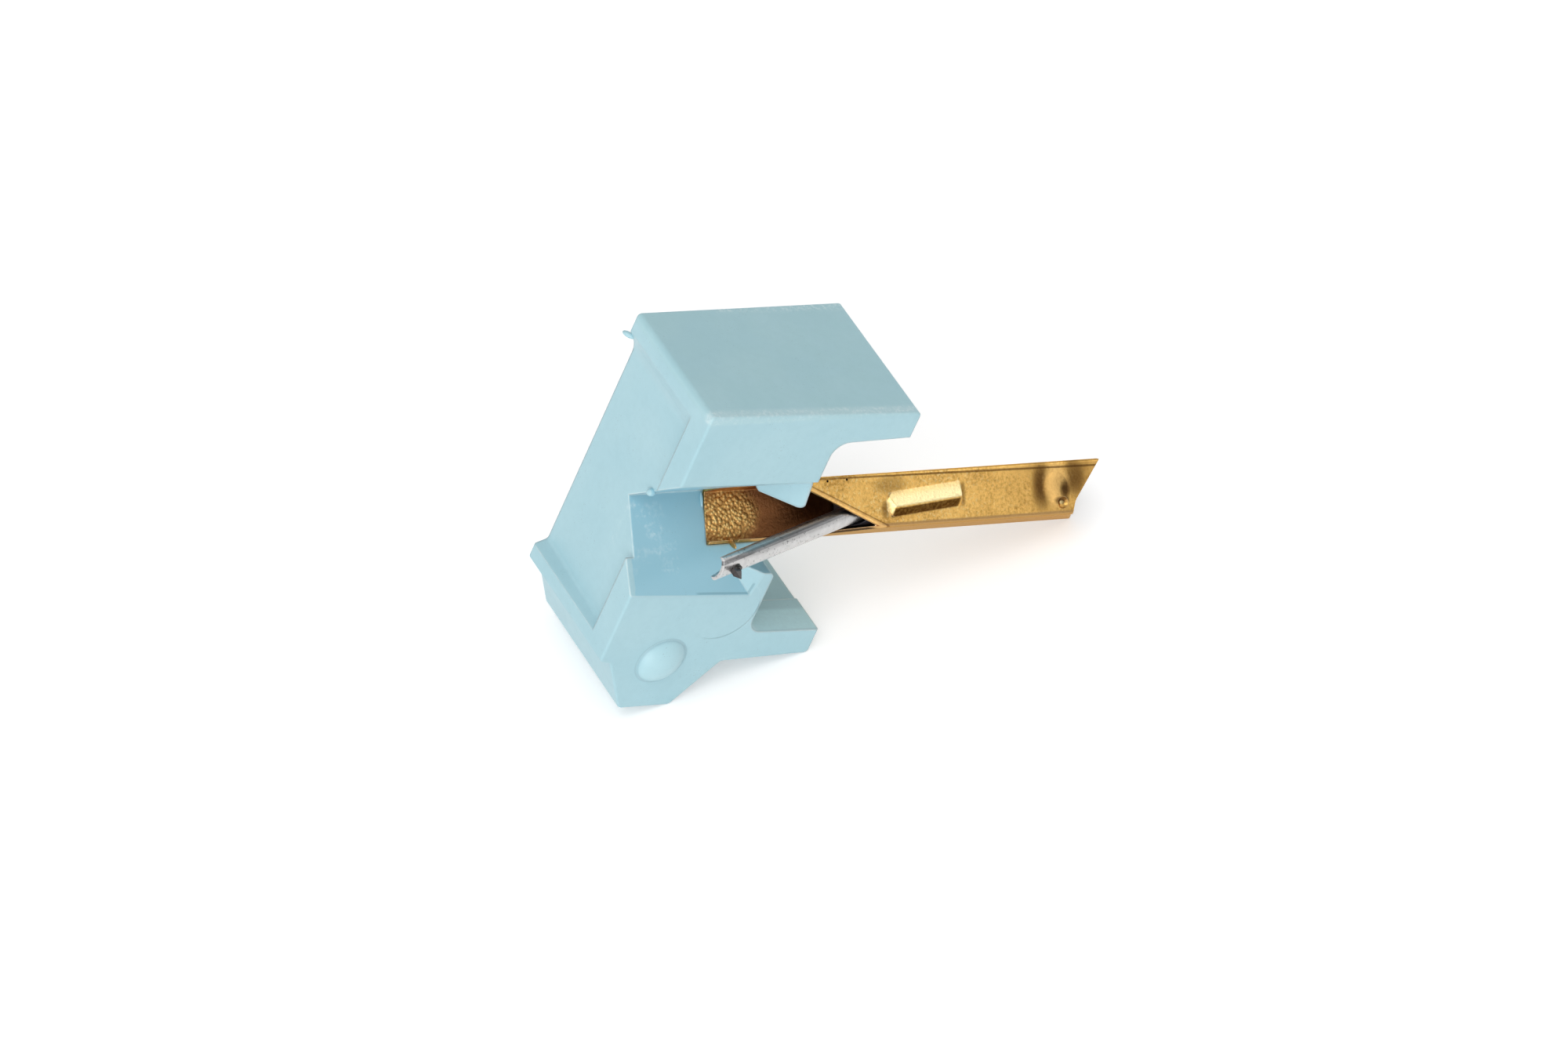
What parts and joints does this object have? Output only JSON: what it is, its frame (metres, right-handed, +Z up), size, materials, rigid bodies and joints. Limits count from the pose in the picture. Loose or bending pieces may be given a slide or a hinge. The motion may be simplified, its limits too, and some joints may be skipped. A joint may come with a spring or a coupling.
{
  "type": "turntable stylus",
  "caption": "Replacement stylus for a record player cartridge: moulded finger grip, folded four-sided gilt stem, and a sprung tube cantilever with a diamond point.",
  "frame": {"origin": "under the middle of the part's box, on the table it lies on", "axes": "+X along the table, towards the stem's rear end; +Y from the record face to the headshell side; +Z up from the table"},
  "size_m": [0.0182, 0.0068, 0.0123],
  "materials": {
    "grip_plastic": "satin moulded, pale blue",
    "gilt_sheet": "gilt, lightly grained",
    "elastomer": "dark slate, matt",
    "tube_aluminium": "bright drawn tube",
    "magnet_alloy": "dull grey",
    "diamond": "dark polished point",
    "cement": "set cement"
  },
  "bodies": {
    "holder": {"grip": "grip_plastic", "stem": "gilt_sheet"},
    "bearing": {"bearing": "elastomer"},
    "cantilever": {"cantilever": "tube_aluminium", "magnet": "magnet_alloy", "diamond": "diamond", "tip_cement": "cement"}
  },
  "joints": [
    {"name": "side_swing", "type": "hinge", "parent": "holder", "child": "bearing", "pos_m": [0.00111, -0.00055, 0.00421], "axis": [0, 1, 0], "range_deg": [-2, 2], "stiffness_Nm_per_rad": 0.005},
    {"name": "tip_lift", "type": "hinge", "parent": "bearing", "child": "cantilever", "pos_m": [0.00111, -0.00055, 0.00421], "axis": [-0.3742, 0, -0.9273], "range_deg": [-1.5, 5], "stiffness_Nm_per_rad": 0.005}
  ]
}
